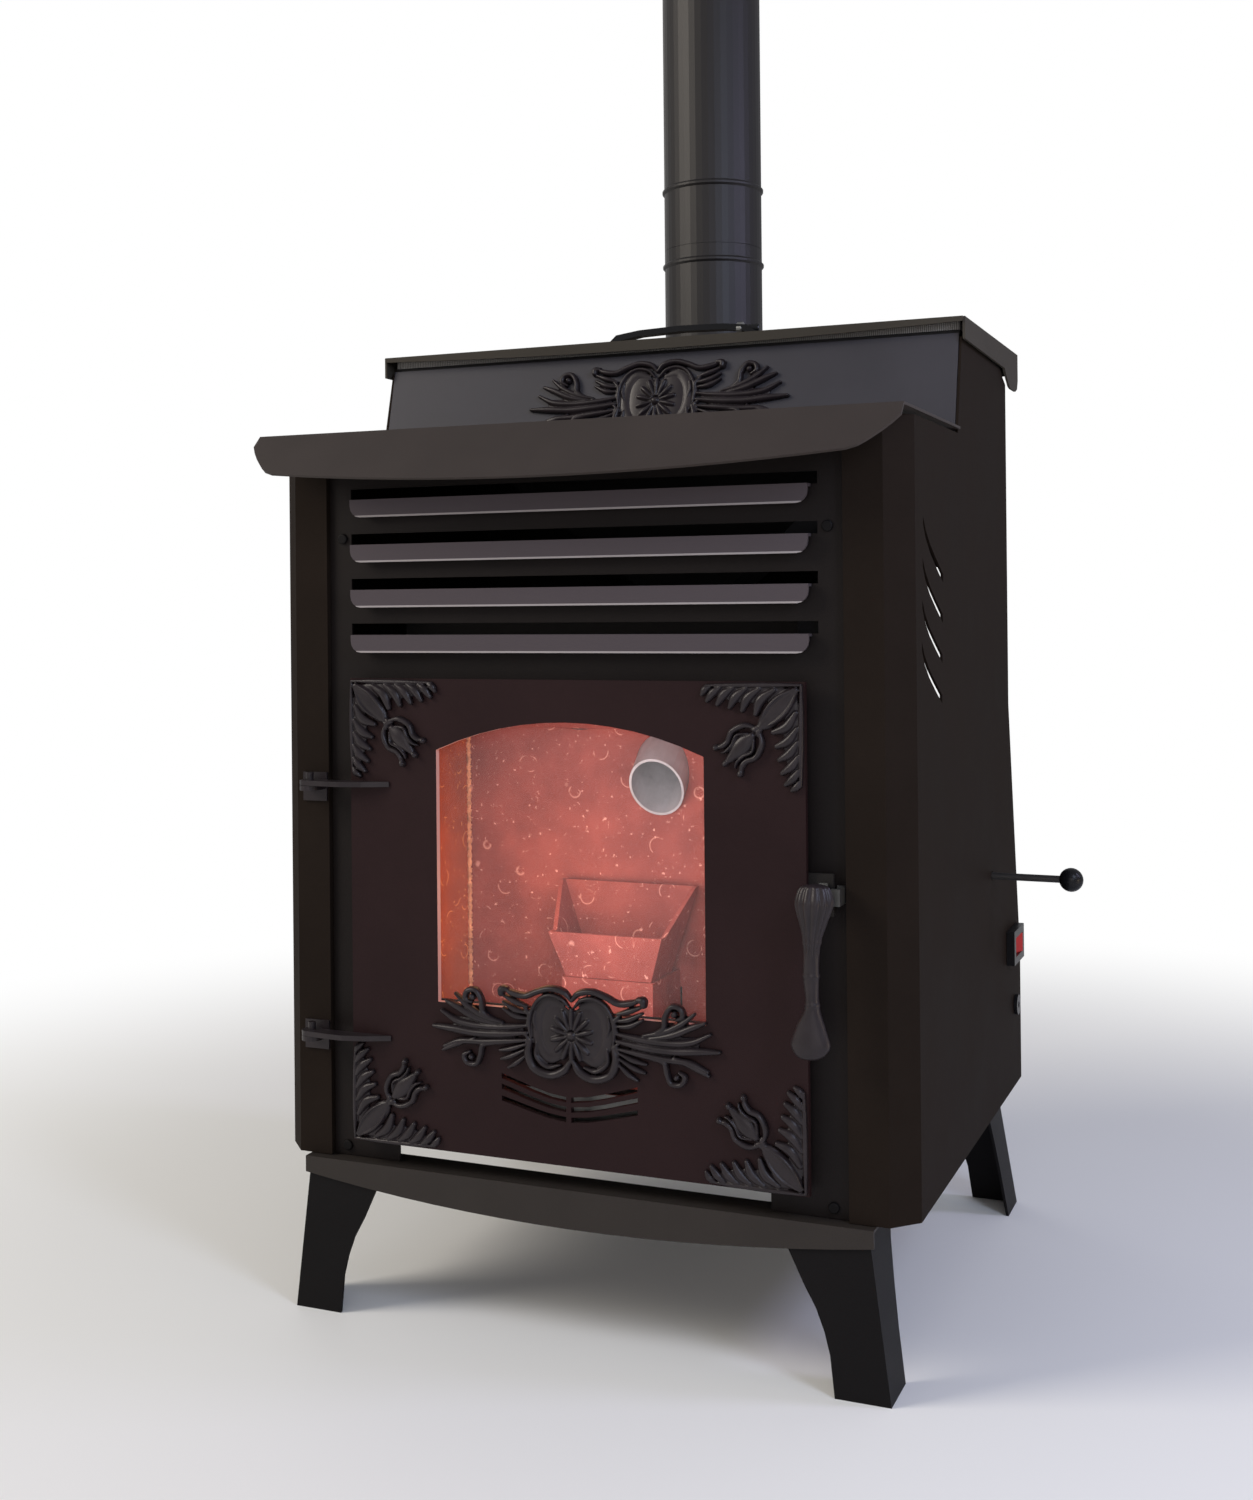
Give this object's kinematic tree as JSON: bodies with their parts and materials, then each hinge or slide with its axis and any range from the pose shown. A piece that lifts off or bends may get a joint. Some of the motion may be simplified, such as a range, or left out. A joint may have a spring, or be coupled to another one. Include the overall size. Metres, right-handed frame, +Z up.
{
  "type": "pellet stove",
  "caption": "Free-standing pellet stove with arched glass door, folded air louvres, lidded hopper, splayed sheet legs and rear flue pipe.",
  "frame": {"origin": "middle of the whole stove's bounding box, on the floor", "axes": "+Z up, front faces -Y, +X to the right seen from the front"},
  "size_m": [0.602, 0.6058, 1.2],
  "materials": {
    "casing": "matt heat-resistant powder coat",
    "dark_casing": "matt heat-resistant paint",
    "sheet_steel": "mill finish",
    "firebox_steel": "sooty heat-stained steel",
    "cast_iron": "blackened casting",
    "flue_paint": "satin stove paint",
    "glass": "clear ceramic glass",
    "rope": "woven glass-fibre rope",
    "black_plastic": "gloss",
    "handle_black": "satin black",
    "red_plastic": "gloss"
  },
  "bodies": {
    "stove": {"side_panel_left": "casing", "side_panel_right": "casing", "front_frame": "casing", "top_hood": "casing", "hopper_front": "casing", "rear_panel": "dark_casing", "floor_plate": "dark_casing", "base_rail": "dark_casing", "base_bar_left": "dark_casing", "base_bar_right": "dark_casing", "leg_front_left": "dark_casing", "leg_front_right": "dark_casing", "leg_rear_left": "dark_casing", "leg_rear_right": "dark_casing", "blower_motor": "dark_casing", "hopper_bin": "sheet_steel", "pellet_chute": "sheet_steel", "ash_pan": "sheet_steel", "air_duct": "sheet_steel", "door_keeper": "sheet_steel", "flue_duct": "sheet_steel", "blower_housing": "sheet_steel", "firebox_shell": "firebox_steel", "baffle_plate": "firebox_steel", "pot_holder": "firebox_steel", "burn_pot": "cast_iron", "hinge_bracket_lower": "cast_iron", "hinge_bracket_upper": "cast_iron", "hopper_ornament": "cast_iron", "lid_hinge_left": "cast_iron", "lid_hinge_right": "cast_iron", "flue_tee": "flue_paint", "tee_cap": "flue_paint", "flue_pipe_lower": "flue_paint", "flue_pipe_upper": "flue_paint", "lid_seal": "rope", "switch_bezel": "black_plastic", "cable_gland": "black_plastic"},
    "door": {"door_panel": "casing", "door_glass": "glass", "glass_frame": "dark_casing", "door_seal": "rope", "hinge_arm_lower": "cast_iron", "hinge_arm_upper": "cast_iron", "latch_plate": "dark_casing", "door_ornament": "cast_iron", "corner_ornament_lower_left": "cast_iron", "corner_ornament_lower_right": "cast_iron", "corner_ornament_upper_left": "cast_iron", "corner_ornament_upper_right": "cast_iron"},
    "handle": {"door_handle": "cast_iron", "latch_spindle": "sheet_steel", "latch_cam": "sheet_steel"},
    "lid": {"lid": "casing", "lid_handle": "handle_black"},
    "air_slide": {"slide_blade": "sheet_steel", "slide_rod": "sheet_steel", "ball_knob": "black_plastic"},
    "rocker": {"switch_rocker": "red_plastic"},
    "fan_wheel": {"blower_rotor": "sheet_steel"}
  },
  "joints": [
    {"name": "door_swing", "type": "hinge", "parent": "stove", "child": "door", "pos_m": [-0.259, -0.25268, 0.323], "axis": [0, 0, -1], "range_deg": [0, 110]},
    {"name": "handle_turn", "type": "hinge", "parent": "door", "child": "handle", "pos_m": [0.163, -0.25108, 0.3546], "axis": [0, 1, 0], "range_deg": [0, 60]},
    {"name": "lid_hinge", "type": "hinge", "parent": "stove", "child": "lid", "pos_m": [-0.036, 0.15692, 0.77], "axis": [-1, 0, 0], "range_deg": [0, 80]},
    {"name": "air_slide", "type": "slide", "parent": "stove", "child": "air_slide", "axis": [1, 0, 0], "range_m": [-0.055, 0]},
    {"name": "switch_rock", "type": "hinge", "parent": "stove", "child": "rocker", "pos_m": [0.226, 0.13892, 0.254], "axis": [0, 0, 1], "range_deg": [0, 24]},
    {"name": "fan_spin", "type": "hinge", "parent": "stove", "child": "fan_wheel", "pos_m": [-0.036, 0.12892, 0.192], "axis": [1, 0, 0], "continuous": true}
  ]
}
